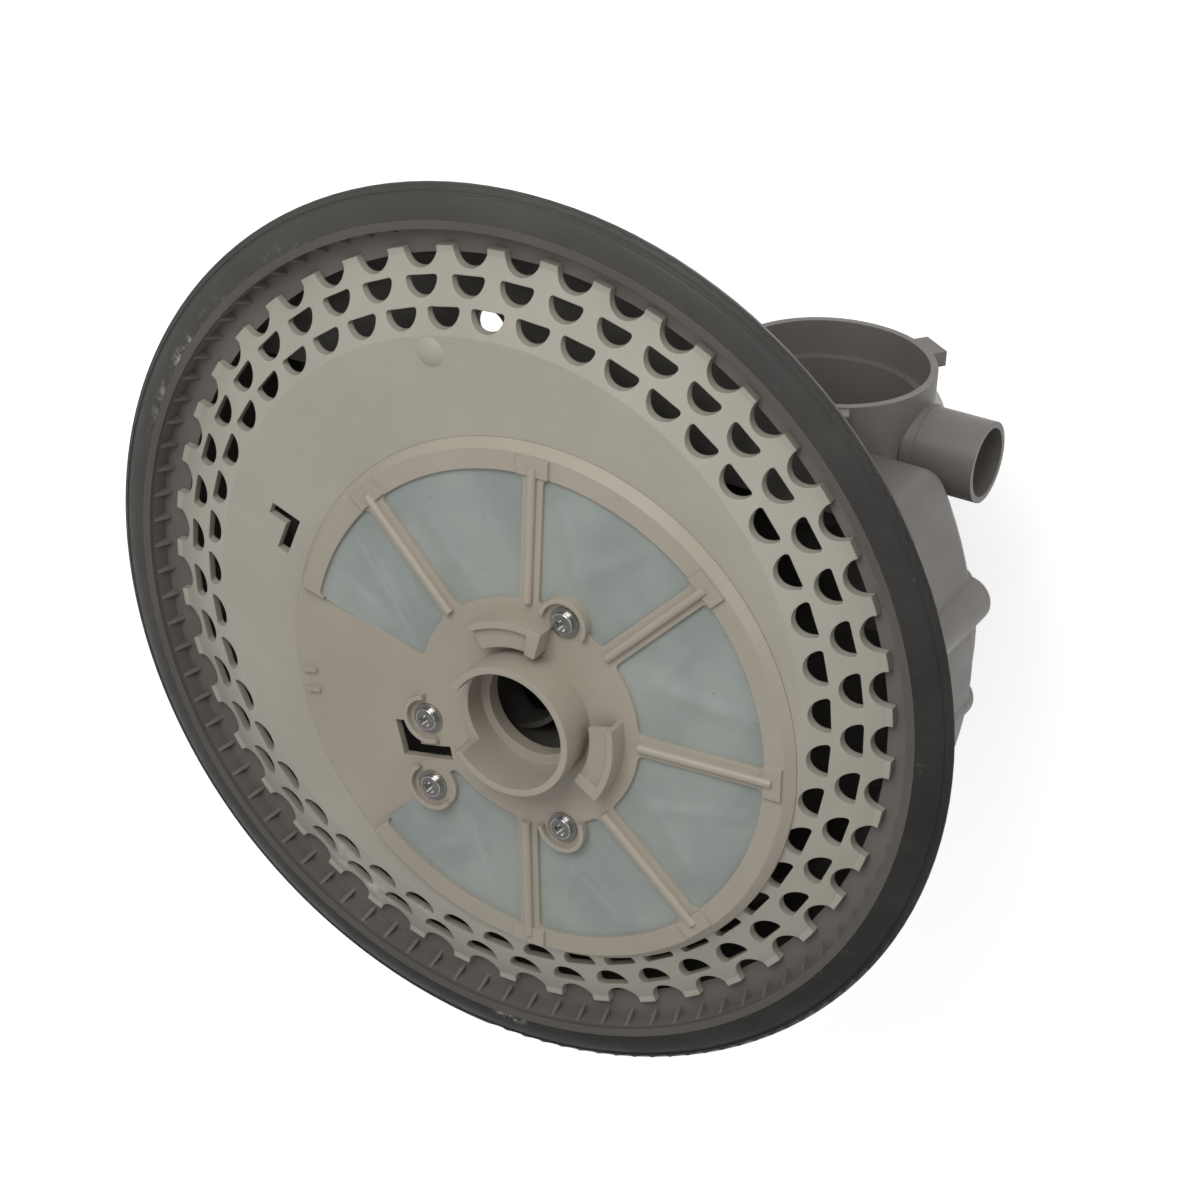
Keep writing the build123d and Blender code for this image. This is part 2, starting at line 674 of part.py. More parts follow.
def hook(angle):
    """Bayonet bracket beside the tube: a wall with an inward lip below its top and an end stop."""
    top = HUB_Z + HOOK_H
    lip_top = top - HOOK_LIP_DROP
    inner = HOOK_R - HOOK_T
    wall = arc_wall(inner, HOOK_R, angle, HOOK_SPAN, FRAME_SEAT_Z, top)
    lip_in = inner - HOOK_LIP
    lip = arc_wall(lip_in, inner + HOOK_T / 2, angle, HOOK_SPAN, lip_top - HOOK_LIP_T, lip_top)
    stop_at = angle - (HOOK_SPAN - HOOK_STOP_SPAN) / 2
    stop = arc_wall(lip_in, inner + HOOK_T / 2, stop_at, HOOK_STOP_SPAN, FRAME_SEAT_Z, top)
    return wall + lip + stop


def collar(place, angle):
    """Partial wall round a screw head, open towards the hub."""
    wall = arc_wall(COLLAR_R - COLLAR_T, COLLAR_R, angle, COLLAR_SPAN, FRAME_SEAT_Z, HUB_Z + COLLAR_H)
    return place * (wall + rod(COLLAR_R, FRAME_SEAT_Z, HUB_Z))


def key_hole():
    """Stepped hole through the panel, its narrow part towards the tube."""
    low, high = SPIGOT_Z, HUB_Z + OVERCUT
    slot_x = (KEY_HOLE_L + KEY_SLOT_L - OVERCUT) / 2
    slot_y = (KEY_SLOT_W - KEY_HOLE_W) / 2
    narrow = Pos(slot_x, slot_y, 0) * block(KEY_SLOT_L + OVERCUT, KEY_SLOT_W, low, high)
    return Rot(0, 0, KEY_TURN) * Pos(*KEY_HOLE_AT, 0) * (block(KEY_HOLE_L, KEY_HOLE_W, low, high) + narrow)


def panel():
    """Solid sector of the frame, nearly flush with the plate at its outer edge."""
    spigot_r = PLATE_OPENING_R - SPIGOT_FIT
    spigot_in = spigot_r - SPIGOT_T
    sheet = turned([
        (TUBE_R + FRAME_T, FRAME_SEAT_Z), (HUB_R, FRAME_SEAT_Z), (spigot_in, panel_z(spigot_in) - FRAME_T),
        (spigot_in, SPIGOT_Z), (spigot_r, SPIGOT_Z), (spigot_r, FLOOR_Z), (RING_BASE_R, FLOOR_Z),
        (RING_BASE_R, panel_z(RING_BASE_R)), (HUB_R, HUB_Z), (TUBE_R + FRAME_T, HUB_Z),
    ])
    return sheet & wedge(RING_BASE_R * 2, PANEL_MID, PANEL_SPAN, SPIGOT_Z, HUB_Z)


def under_floor():
    """What lies under the plate's upper face, apart from the plate's opening."""
    mass = turned([
        (0, LEDGE_Z), (PLATE_R, LEDGE_Z), (PLATE_R, PLATE_TOP_Z), (LAND_R, PLATE_TOP_Z),
        (DOME_R, FLOOR_Z), (0, FLOOR_Z),
    ])
    return mass - at_pump(rod(PLATE_OPENING_R - SPIGOT_FIT / 2, LEDGE_Z - OVERCUT, FLOOR_Z + OVERCUT))


def fine_filter_frame():
    """Ring, ribs, hub, panel, outlet tube and hooks as one moulding, round the pump axis."""
    spigot_r = PLATE_OPENING_R - SPIGOT_FIT
    spigot_in = spigot_r - SPIGOT_T
    frame = turned([
        (STEP_BORE_R, TUBE_FOOT_Z), (TUBE_R, TUBE_FOOT_Z), (TUBE_R, FRAME_SEAT_Z), (HUB_R, FRAME_SEAT_Z),
        (spigot_in, cone_z(spigot_in) - FRAME_T), (spigot_in, SPIGOT_Z), (spigot_r, SPIGOT_Z),
        (spigot_r, FLOOR_Z - RING_SKIRT), (RING_BASE_R, FLOOR_Z - RING_SKIRT), (RING_BASE_R, FLOOR_Z),
        (RING_TOP_R, RING_TOP_Z), (HUB_R, HUB_Z), (TUBE_R, HUB_Z), (TUBE_R, TUBE_TOP_Z),
        (TUBE_BORE_R, TUBE_TOP_Z), (TUBE_BORE_R, TUBE_STEP_Z), (STEP_BORE_R, TUBE_STEP_Z),
    ])
    ring_out = RING_BASE_R + OVERCUT
    frame -= arc_wall(HUB_R, ring_out, PANEL_MID, PANEL_SPAN, SPIGOT_Z - OVERCUT, HUB_Z + OVERCUT)
    frame += panel()
    frame -= raised(window_plan(COLLAR_R - COLLAR_T / 2), SPIGOT_Z, HUB_Z + OVERCUT)
    frame -= key_hole()
    frame += [rib(angle) for angle in rib_angles()]
    frame += [hook(angle) for angle in HOOK_AT]
    places = screw_places()
    for place, (radius, angle) in zip(places, FILTER_SCREWS):
        frame += collar(place, angle)
    slot = block(TUBE_SLOT_W, TUBE_SLOT_W, TUBE_SLOT_Z, TUBE_TOP_Z + OVERCUT)
    frame -= Rot(0, 0, TUBE_SLOT_AT) * Pos(TUBE_R, 0, 0) * slot
    bar = block(BAR_L, BAR_W, panel_z(BAR_R) - OVERCUT, panel_z(BAR_R) + BAR_H)
    for side in (-1, 1):
        frame += Rot(0, 0, PANEL_MID + BAR_TURN) * Pos(BAR_R, side * BAR_GAP / 2, 0) * bar
    frame -= [place * rod(BOSS_R + BOSS_FIT, SPIGOT_Z, FRAME_SEAT_Z) for place in places]
    frame -= [place * rod(SCREW_R + SCREW_HOLE_FIT, SPIGOT_Z, HUB_Z + OVERCUT) for place in places]
    return at_pump(frame) - under_floor()


def fine_filter_mesh():
    """One thin pane in each window of the frame."""
    windows = raised(window_plan(COLLAR_R), SPIGOT_Z, HUB_Z + OVERCUT)
    return at_pump(conical_sheet(HUB_R, WINDOW_R, MESH_DROP, MESH_T) & windows)


def six_lobe(z_low, z_high):
    """Driver recess with six round lobes."""
    recess = rod(RECESS_R, z_low, z_high)
    lobe = rod(RECESS_LOBE_R, z_low, z_high)
    step = 360 / RECESS_LOBES
    return recess + [Pos(*polar(RECESS_R, step * i), 0) * lobe for i in range(RECESS_LOBES)]


def filter_screws():
    """Four washer-head screws."""
    top = HUB_Z + HEAD_H
    screw = rod(SCREW_R, FRAME_SEAT_Z - SCREW_BITE, HUB_Z)
    screw += rod(HEAD_WASHER_R, HUB_Z, HUB_Z + HEAD_WASHER_T)
    head = rod(HEAD_R, HUB_Z, top)
    screw += fillet(head.edges().group_by(Axis.Z)[-1], HEAD_H / 4)
    screw -= six_lobe(top - RECESS_DEPTH, top + OVERCUT)
    return Compound(children=[at_pump(place * screw) for place in screw_places()])


# Wash pump
def pump_housing():
    """Neck and volute of the wash pump, with screw bosses above and legs below."""
    inner, volute_in = PUMP_R - PUMP_WALL, VOLUTE_R - PUMP_WALL
    body = turned([
        (TUBE_R + SPIGOT_FIT, FRAME_SEAT_Z), (PUMP_R, FRAME_SEAT_Z), (PUMP_R, PUMP_NECK_Z + PUMP_WALL),
        (VOLUTE_R, PUMP_NECK_Z), (VOLUTE_R, VOLUTE_Z), (INLET_R, VOLUTE_Z), (INLET_R, VOLUTE_Z + PUMP_WALL),
        (volute_in, VOLUTE_Z + PUMP_WALL), (volute_in, PUMP_NECK_Z - PUMP_WALL), (inner, PUMP_NECK_Z),
        (inner, TUBE_FOOT_Z), (TUBE_R + SPIGOT_FIT, TUBE_FOOT_Z),
    ])
    foot = FRAME_SEAT_Z - SCREW_BITE - BOSS_FOOT
    root = PUMP_R - PUMP_WALL / 2
    for place, (radius, angle) in zip(screw_places(), FILTER_SCREWS):
        web = Pos((radius + root) / 2, 0, 0) * block(radius - root, WEB_W, foot, FRAME_SEAT_Z - WEB_DROP)
        body += place * rod(BOSS_R, foot, FRAME_SEAT_Z) + Rot(0, 0, angle) * web
    pilot = rod(SCREW_R, FRAME_SEAT_Z - SCREW_BITE, FRAME_SEAT_Z + OVERCUT)
    body -= [place * pilot for place in screw_places()]
    leg_at = VOLUTE_R - LEG_R - LEG_INSET
    legs = [Rot(0, 0, LEG_FIRST + 360 / LEG_COUNT * i) * Pos(leg_at, 0, 0) for i in range(LEG_COUNT)]
    body += [leg * rod(LEG_R, BOWL_INNER_Z, VOLUTE_Z) for leg in legs]
    return at_pump(body)


def curved_vane(inner, outer, sweep, thickness, z_low, z_high):
    """Vane that curves back by the sweep angle from its inner to its outer end."""
    middle = polar((inner + outer) / 2, sweep * 0.35)
    spine = ThreePointArc((inner, 0), middle, polar(outer, sweep))
    return raised(trace(spine, thickness), z_low, z_high)


def diffuser():
    """Guide vanes that straighten the flow on its way up to the tube."""
    top = TUBE_FOOT_Z - DIFFUSER_DROP
    base = top - DIFFUSER_H
    outer = PUMP_R - PUMP_WALL - DIFFUSER_FIT
    shoulder = (DIFFUSER_CORE_R * 0.8, base + DIFFUSER_H * 0.6)
    core = turned([(0, base), (DIFFUSER_CORE_R, base), shoulder, (DIFFUSER_TIP_R, top), (0, top)])
    body = core + tube(outer - DIFFUSER_RING_T, outer, base, TUBE_FOOT_Z)
    bounds = rod(outer - DIFFUSER_RING_T / 2, base, base + DIFFUSER_H / 2)
    start = DIFFUSER_CORE_R * 0.6
    vane = curved_vane(start, outer, -VANE_SWEEP / 2, DIFFUSER_VANE_T, base, base + DIFFUSER_H / 2) & bounds
    body += [Rot(0, 0, 360 / DIFFUSER_VANES * i) * vane for i in range(DIFFUSER_VANES)]
    return at_pump(body)


def wash_impeller():
    """Open impeller: back disc on top, curved vanes below, hub on the shaft."""
    disc_z = IMPELLER_Z + IMPELLER_VANE_H
    body = rod(IMPELLER_HUB_R, IMPELLER_Z, NUT_Z) + rod(IMPELLER_R, disc_z, IMPELLER_TOP_Z)
    tip = IMPELLER_R - IMPELLER_TIP_GAP
    vane = curved_vane(IMPELLER_EYE_R, tip, -VANE_SWEEP, IMPELLER_VANE_T, IMPELLER_Z, disc_z)
    body += [Rot(0, 0, 360 / IMPELLER_VANES * i) * vane for i in range(IMPELLER_VANES)]
    return at_pump(body - rod(SHAFT_R, IMPELLER_Z - OVERCUT, SHAFT_TOP_Z + OVERCUT))


def impeller_nut():
    """Hexagon nut that holds the impeller down."""
    nut = raised(RegularPolygon(NUT_ACROSS / 2, 6, major_radius=False), NUT_Z, NUT_Z + NUT_H)
    return at_pump(nut - rod(SHAFT_R, NUT_Z - OVERCUT, NUT_Z + NUT_H + OVERCUT))


def chopper_plate():
    """Steel sieve under the pump inlet."""
    sieve = tube(CHOPPER_SHAFT_HOLE_R, CHOPPER_R, CHOPPER_Z, VOLUTE_Z)
    for radius, count in CHOPPER_RINGS:
        holes = [Pos(*polar(radius, 360 / count * i), 0) for i in range(count)]
        sieve -= [hole * rod(CHOPPER_HOLE_R, CHOPPER_Z - OVERCUT, VOLUTE_Z + OVERCUT) for hole in holes]
    return at_pump(sieve)


def chopper_blade():
    """Two-armed cutter that sweeps the underside of the sieve."""
    plan = RectangleRounded(BLADE_L * 2, BLADE_W, BLADE_W / 3) + Circle(BLADE_HUB_R)
    return at_pump(raised(plan - Circle(SHAFT_R), BLADE_Z, BLADE_Z + BLADE_T))


def impeller_spacer():
    """Sleeve on the shaft between cutter and impeller."""
    return at_pump(tube(SHAFT_R, CHOPPER_SHAFT_HOLE_R - SLEEVE_GAP, BLADE_Z + BLADE_T, IMPELLER_Z))


def shaft_seal_seat():
    """Fixed half of the face seal, pressed into the bowl floor."""
    bore = SHAFT_R + SEAT_BORE_GAP
    plug = SEAT_HOLE_R - SEAT_FIT
    return at_pump(turned([
        (bore, BOWL_FLOOR_Z), (plug, BOWL_FLOOR_Z), (plug, BOWL_INNER_Z), (SEAT_LIP_R, BOWL_INNER_Z),
        (SEAT_LIP_R, BOWL_INNER_Z + SEAT_LIP_T), (SEAL_RING_R, BOWL_INNER_Z + SEAT_LIP_T),
        (SEAL_RING_R, SEAT_FACE_Z), (bore, SEAT_FACE_Z),
    ]))


def shaft_seal_ring():
    """Turning half of the face seal, with its bellows fold."""
    base = SEAT_FACE_Z + SEAL_FACE_GAP
    fold = SEAL_RING_H / 4
    top = base + SEAL_RING_H
    return at_pump(turned([
        (SHAFT_R, base), (SEAL_RING_R, base), (SEAL_RING_R, base + fold),
        (SEAL_RING_R * 0.75, base + 2 * fold), (SEAL_RING_R * 0.9, base + 3 * fold),
        (SEAL_RING_R * 0.6, top), (SHAFT_R, top),
    ]))


# Motor
def motor_plan(inset):
    """Square motor section with round corners."""
    side = MOTOR_W - 2 * inset
    return RectangleRounded(side, side, MOTOR_CORNER - inset)


def bolt_places():
    """Through bolts in the motor's corners."""
    return [Pos(x * BOLT_XY, y * BOLT_XY, 0) for x in (-1, 1) for y in (-1, 1)]


def end_bracket(plate_low, skirt_low, skirt_high, pocket_low, pocket_high):
    """Cast end frame: plate, skirt with bolt posts and a bearing pocket."""
    plate_high = plate_low + BRACKET_PLATE_T
    body = raised(motor_plan(0), plate_low, plate_high)
    skirt = raised(motor_plan(0), skirt_low, skirt_high)
    post = rod(BOLT_INSET - POST_TRIM, skirt_low, skirt_high)
    posts = [skirt & (place * post) for place in bolt_places()]
    body += skirt - raised(motor_plan(BRACKET_WALL), skirt_low - OVERCUT, skirt_high + OVERCUT)
    body += posts
    body += tube(BEARING_R + POCKET_FIT, BEARING_R + POCKET_WALL, pocket_low, pocket_high)
    vent = raised(SlotOverall(VENT_L, VENT_W, 90), plate_low - OVERCUT, plate_high + OVERCUT)
    vent = Pos(MOTOR_W / 2 - VENT_W * 2, 0, 0) * vent
    return body - [Rot(0, 0, 360 / BRACKET_VENTS * i) * vent for i in range(BRACKET_VENTS)]


def motor_upper_bracket():
    """End frame under the sump, with the ears that screw to it."""
    low = MOTOR_TOP_Z - BRACKET_PLATE_T
    body = end_bracket(low, STATOR_TOP_Z, low, UPPER_BEARING_Z, low)
    ear_low = MOTOR_TOP_Z - EAR_T
    arm = Pos((EAR_XY + MOTOR_W / 2) / 2, 0, 0) * block(EAR_OUT + OVERCUT, EAR_R * 2, ear_low, MOTOR_TOP_Z)
    ear = arm + Pos(EAR_XY, 0, 0) * rod(EAR_R, ear_low, BOWL_FLOOR_Z)
    ear -= Pos(EAR_XY, 0, 0) * rod(EAR_SCREW_R + SCREW_HOLE_FIT, ear_low - OVERCUT, BOWL_FLOOR_Z + OVERCUT)
    body += [Rot(0, 0, angle) * ear for angle in EAR_ANGLES]
    body -= rod(SHAFT_R + SEAT_BORE_GAP, low - OVERCUT, MOTOR_TOP_Z + OVERCUT)
    bolt_hole = rod(BOLT_R, STATOR_TOP_Z - OVERCUT, MOTOR_TOP_Z - BRACKET_PLATE_T / 2)
    return at_pump(body - [place * bolt_hole for place in bolt_places()])


def motor_lower_bracket():
    """End frame that closes the motor and stands on its flat foot."""
    top = MOTOR_BASE_Z + BRACKET_PLATE_T
    body = end_bracket(MOTOR_BASE_Z, top, STATOR_BASE_Z, top, LOWER_BEARING_Z + BEARING_W)
    low = MOTOR_BASE_Z - OVERCUT
    bolt_hole = rod(BOLT_R + BOLT_HOLE_FIT, low, STATOR_BASE_Z + OVERCUT)
    bolt_hole += rod(BOLT_HEAD_R + BOLT_HOLE_FIT, low, MOTOR_BASE_Z + BOLT_HEAD_H + BOLT_SINK)
    return at_pump(body - [place * bolt_hole for place in bolt_places()])


def slot_plan():
    """Winding slots of the stator, open to the bore through narrow mouths."""
    bore = ROTOR_R + AIR_GAP
    reach = SLOT_DEPTH - TOOTH_TIP
    slot = Pos(bore + TOOTH_TIP + reach / 2, 0) * RectangleRounded(reach, SLOT_W, SLOT_W / 3)
    mouth = Pos(bore + TOOTH_TIP / 2, 0) * Rectangle(TOOTH_TIP * 3, SLOT_W / 3)
    turns = [Rot(0, 0, 360 / SLOT_COUNT * i) for i in range(SLOT_COUNT)]
    return [turn * shape for turn in turns for shape in (slot, mouth)]


def stator_core():
    """Lamination stack with winding slots."""
    plan = motor_plan(0) - Circle(ROTOR_R + AIR_GAP) - slot_plan()
    core = raised(plan, STATOR_BASE_Z, STATOR_TOP_Z)
    bolt_hole = rod(BOLT_R + BOLT_HOLE_FIT, STATOR_BASE_Z - OVERCUT, STATOR_TOP_Z + OVERCUT)
    return at_pump(core - [place * bolt_hole for place in bolt_places()])


def stator_windings():
    """Coil sides in the slots, joined by a wound ring at each end of the stack."""
    bore = ROTOR_R + AIR_GAP
    inner, outer = bore + TOOTH_TIP + SLOT_LINER, bore + SLOT_DEPTH - SLOT_LINER
    middle, width = (inner + outer) / 2, outer - inner
    side = block(width, SLOT_W - SLOT_SLACK, STATOR_BASE_Z - OVERCUT, STATOR_TOP_Z + OVERCUT)
    sides = [Rot(0, 0, 360 / SLOT_COUNT * i) * Pos(middle, 0, 0) * side for i in range(SLOT_COUNT)]
    end = RectangleRounded(width, COIL_RISE, COIL_ROUND)
    reach = COIL_RISE / 2 + COIL_LIFT
    low = revolve(Plane.XZ * (Pos(middle, STATOR_BASE_Z - reach) * end), Axis.Z)
    high = revolve(Plane.XZ * (Pos(middle, STATOR_TOP_Z + reach) * end), Axis.Z)
    return at_pump(low + high + sides)


def bearing(low):
    """Ball bearing as one ring, with its race grooves on the faces."""
    ring = tube(SHAFT_R + SHAFT_FIT, BEARING_R, low, low + BEARING_W)
    high = low + BEARING_W
    race_in = (SHAFT_R + BEARING_R - RACE_W) / 2
    race_out = race_in + RACE_W
    ring -= tube(race_in, race_out, low - OVERCUT, low + RACE_GROOVE)
    return at_pump(ring - tube(race_in, race_out, high - RACE_GROOVE, high + OVERCUT))


def motor_gasket():
    """Rubber ring between bowl floor and motor."""
    return at_pump(tube(GASKET_R - GASKET_W, GASKET_R, MOTOR_TOP_Z, BOWL_FLOOR_Z))


def motor_bolts():
    """Long bolts that clamp the brackets on the stator."""
    low = MOTOR_BASE_Z + BOLT_SINK
    seat = low + BOLT_HEAD_H
    bolt = rod(BOLT_R, seat, MOTOR_TOP_Z - BRACKET_PLATE_T / 2) + rod(BOLT_HEAD_R, low, seat)
    slot = block(BOLT_HEAD_R * 3, BOLT_SLOT, low - OVERCUT, low + BOLT_SLOT)
    return Compound(children=[at_pump(place * (bolt - slot)) for place in bolt_places()])


def motor_mount_screws():
    """Screws through the bracket ears into the bowl floor."""
    seat = MOTOR_TOP_Z - EAR_T
    screw = rod(EAR_SCREW_R, seat, BOWL_FLOOR_Z + EAR_SCREW_BITE)
    head = raised(RegularPolygon(EAR_HEAD_R, 6), seat - EAR_HEAD_H, seat)
    return Compound(children=[place * (screw + head) for place in ear_places()])


def motor_shaft():
    """Shaft from the lower bearing up to the impeller nut."""
    shaft = rod(SHAFT_R, LOWER_BEARING_Z + SHAFT_END_GAP, SHAFT_TOP_Z + SHAFT_STUB)
    ends = shaft.edges().filter_by(GeomType.CIRCLE)
    return at_pump(chamfer(ends, SHAFT_CHAMFER))


def rotor_core():
    """Rotor stack with its cast end rings."""
    body = tube(SHAFT_R, ROTOR_R, STATOR_BASE_Z, STATOR_TOP_Z)
    body += tube(SHAFT_R, ROTOR_END_R, STATOR_BASE_Z - ROTOR_END_H, STATOR_TOP_Z + ROTOR_END_H)
    return at_pump(body)


def upper_spacer():
    """Sleeve between the rotor and the upper bearing."""
    return at_pump(tube(SHAFT_R, SPACER_R, STATOR_TOP_Z + ROTOR_END_H, UPPER_BEARING_Z - SPACER_GAP))


def lower_spacer():
    """Sleeve between the lower bearing and the rotor."""
    low = LOWER_BEARING_Z + BEARING_W + SPACER_GAP
    return at_pump(tube(SHAFT_R, SPACER_R, low, STATOR_BASE_Z - ROTOR_END_H))


def at_terminals(shape):
    """Places a shape drawn along Z on the motor's -X side, pointing out."""
    middle_z = (STATOR_TOP_Z + STATOR_BASE_Z) / 2
    return at_pump(Pos(-MOTOR_W / 2, 0, middle_z) * Rot(0, -90, 0) * shape)


def terminal_pins(low, high):
    """Upright blade contacts in a row."""
    first = -BLADE_PIN_PITCH * (BLADE_PINS - 1) / 2
    pin = block(BLADE_PIN_W, BLADE_PIN_T, low, high)
    return [Pos(0, first + BLADE_PIN_PITCH * i, 0) * pin for i in range(BLADE_PINS)]


def terminal_block():
    """Open plug shroud on the side of the stator."""
    body = block(TERMINAL_W, TERMINAL_L, 0, TERMINAL_H)
    body = fillet(body.edges().filter_by(Axis.Z), TERMINAL_CORNER)
    width, length = TERMINAL_W - 2 * TERMINAL_WALL, TERMINAL_L - 2 * TERMINAL_WALL
    hollow = block(width, length, TERMINAL_FLOOR, TERMINAL_H + OVERCUT)
    pin_slots = terminal_pins(TERMINAL_FLOOR - BLADE_PIN_IN, TERMINAL_FLOOR + OVERCUT)
    return at_terminals(body - hollow - pin_slots)


def blade_terminals():
    """Flat contacts of the plug."""
    pins = terminal_pins(TERMINAL_FLOOR - BLADE_PIN_IN, TERMINAL_FLOOR + BLADE_PIN_OUT)
    return Compound(children=[at_terminals(pin) for pin in pins])


save("sump_housing", sump_housing())
save("rim_seal", rim_seal())
save("coarse_filter_plate", coarse_filter_plate())
save("fine_filter_frame", fine_filter_frame())
save("fine_filter_mesh", fine_filter_mesh())
save("filter_screws", filter_screws())
save("pump_housing", pump_housing())
save("diffuser", diffuser())
save("wash_impeller", wash_impeller())
save("impeller_nut", impeller_nut())
save("impeller_spacer", impeller_spacer())
save("chopper_plate", chopper_plate())
save("chopper_blade", chopper_blade())
save("shaft_seal_seat", shaft_seal_seat())
save("shaft_seal_ring", shaft_seal_ring())
save("motor_gasket", motor_gasket())
save("motor_upper_bracket", motor_upper_bracket())
save("motor_lower_bracket", motor_lower_bracket())
save("stator_core", stator_core())
save("stator_windings", stator_windings())
save("upper_bearing", bearing(UPPER_BEARING_Z))
save("lower_bearing", bearing(LOWER_BEARING_Z))
save("motor_bolts", motor_bolts())
save("motor_mount_screws", motor_mount_screws())
save("motor_shaft", motor_shaft())
save("rotor_core", rotor_core())
save("upper_spacer", upper_spacer())
save("lower_spacer", lower_spacer())
save("terminal_block", terminal_block())
save("blade_terminals", blade_terminals())
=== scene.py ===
import json
import math

import bmesh
import bpy
from mathutils import Euler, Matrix, Vector, noise as solid_noise


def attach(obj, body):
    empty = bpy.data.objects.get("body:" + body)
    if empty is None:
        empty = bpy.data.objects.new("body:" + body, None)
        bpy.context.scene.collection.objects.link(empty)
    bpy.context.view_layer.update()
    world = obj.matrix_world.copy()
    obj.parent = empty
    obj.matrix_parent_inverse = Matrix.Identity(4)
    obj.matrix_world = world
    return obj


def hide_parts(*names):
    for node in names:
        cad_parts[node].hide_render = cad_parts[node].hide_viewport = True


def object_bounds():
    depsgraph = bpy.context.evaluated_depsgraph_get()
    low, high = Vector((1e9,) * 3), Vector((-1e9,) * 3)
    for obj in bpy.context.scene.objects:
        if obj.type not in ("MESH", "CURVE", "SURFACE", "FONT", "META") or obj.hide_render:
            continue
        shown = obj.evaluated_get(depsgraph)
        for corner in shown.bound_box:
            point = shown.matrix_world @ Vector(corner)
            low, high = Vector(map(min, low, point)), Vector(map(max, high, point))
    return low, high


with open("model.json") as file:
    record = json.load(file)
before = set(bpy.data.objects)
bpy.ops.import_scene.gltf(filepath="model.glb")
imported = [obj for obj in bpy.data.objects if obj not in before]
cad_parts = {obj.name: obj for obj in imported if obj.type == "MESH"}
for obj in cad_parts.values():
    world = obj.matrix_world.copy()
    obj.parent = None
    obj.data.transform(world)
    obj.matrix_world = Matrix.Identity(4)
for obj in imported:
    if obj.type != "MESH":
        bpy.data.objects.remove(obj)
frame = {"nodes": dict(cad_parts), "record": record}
cad_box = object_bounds()
nodes = frame["nodes"]

# Sizes here are in millimetres, and Blender's are in metres
MM = 0.001

# Camera, fitted to the photograph's viewing angle
CAMERA_AT = Vector((430.67, 495.16, 744.19)) * MM
CAMERA_TURN = (-28.0374, 29.5558, 2.4278)
CAMERA_LENS = 94.886
CAMERA_SENSOR = 36.0

# Even light of the room, and how reflections of it darken from a low to a high direction overhead
WORLD_LEVEL = 0.45
OVERHEAD_LEVEL = 0.25
OVERHEAD_LOW = 0.15
OVERHEAD_HIGH = 0.75

# Soft lamps: name, place and size in metres, and power in watts; they point at one target
LAMP_TARGET = Vector((20.0, 0.0, -30.0)) * MM
LAMPS = (
    ("key", (0.05, 0.78, 0.72), 0.6, 6.8),
    ("top", (0.25, -0.25, 1.35), 0.9, 0.8),
    ("side", (1.10, 0.60, 0.25), 0.7, 1.6),
)

# Floor: its grey, how far it is lifted to white, and half its width in metres
FLOOR_GREY = 0.82
FLOOR_LIFT = 0.62
FLOOR_HALF = 6.0

# Axis of pump and fine filter, as in the part
PUMP_AXIS = Vector((14.2, -14.1, 0.0)) * MM

# Fine filter's windows round that axis, in millimetres and degrees, as in the part
HUB_R = 39.2
HUB_Z = 17.5
RING_TOP_R = 87.3
RING_TOP_Z = 15.1
WINDOW_R = 80.7
RIB_HALF = 3.5
RIB_COUNT = 6
RIB_STEP = 45.0
FIRST_RIB = -88.6
RIB_ANGLES = [FIRST_RIB + RIB_STEP * i for i in range(RIB_COUNT)]
PANEL_EDGES = (168.5, 228.5)
SCREW_PADS = ((38.0, 71.8), (50.9, -131.9), (39.5, -69.2))
SCREW_PAD_R = 7.4

# Filter cloth: how it lies in the windows, its grid, and how wide and deep it sags
CLOTH_DROP = 1.3
CLOTH_TUCK = 0.6
CLOTH_STEP = 1.1
CLOTH_FADE = 4.0
CLOTH_SAG = 0.6
CLOTH_SAG_WIDTH = 17

# Folds of the cloth, window by window: start and end as radius and angle, then width and height
CLOTH_FOLDS = (
    (((78, -60), (48, -74), 2.5, 0.85), ((74, -80), (46, -62), 1.9, 0.59)),
    (((78, -10), (46, -28), 2.8, 0.94), ((74, -36), (44, -20), 1.9, 0.59)),
    (((78, 14), (46, 30), 3.1, 0.85), ((76, 38), (44, 24), 1.9, 0.59)),
    (((78, 60), (52, 75), 3.1, 0.85), ((74, 84), (50, 72), 1.9, 0.51)),
    (((78, 104), (48, 112), 2.5, 0.85), ((76, 126), (44, 120), 2.2, 0.59)),
    (
        ((78, 146), (42, 163), 1.9, 0.95),
        ((76, 160), (50, 165), 1.6, 0.68),
        ((60, 140), (44, 150), 1.9, 0.51),
    ),
    (((78, 240), (50, 262), 2.8, 0.95), ((76, 262), (48, 246), 1.9, 0.51)),
)

# Dried residue on the seal: between which radii, and its spots as place, reach and weight
RESIDUE_IN_R = 139.8
RESIDUE_OUT_R = 143.4
RESIDUE_SPOTS = (
    ((-121.0, 68.0, 8.0), 46.0, 0.5),
    ((-83.3, 113.8, 8.0), 12.0, 0.4),
    ((5.1, -139.0, 8.0), 9.0, 0.7),
)

# Seal: painted light, paler towards one side, and fine grooves outside a radius
PAINTED_LIGHT_SIDE = (-0.71, 0.71, 0.0)
PAINTED_LIGHT_REACH = 140.0
PAINTED_LIGHT_WEIGHT = 0.07
GROOVE_IN_R = 146.0
GROOVE_PITCH = 1.3

# Painted sheen on the coarse plate, in whitish smears low on the left, as place, reach and weight
PLATE_SHEEN_SPOTS = (
    ((-62.0, -102.0, 5.0), 12.0, 0.5),
    ((-50.0, -109.5, 5.0), 11.0, 0.5),
    ((-28.0, -109.5, 5.0), 9.0, 0.35),
)

# Where the painted shade on the rim's upper edge begins, and how softly
RIM_IN_R = 136.0
RIM_LOW_Z = 7.5
RIM_FADE = 2.0

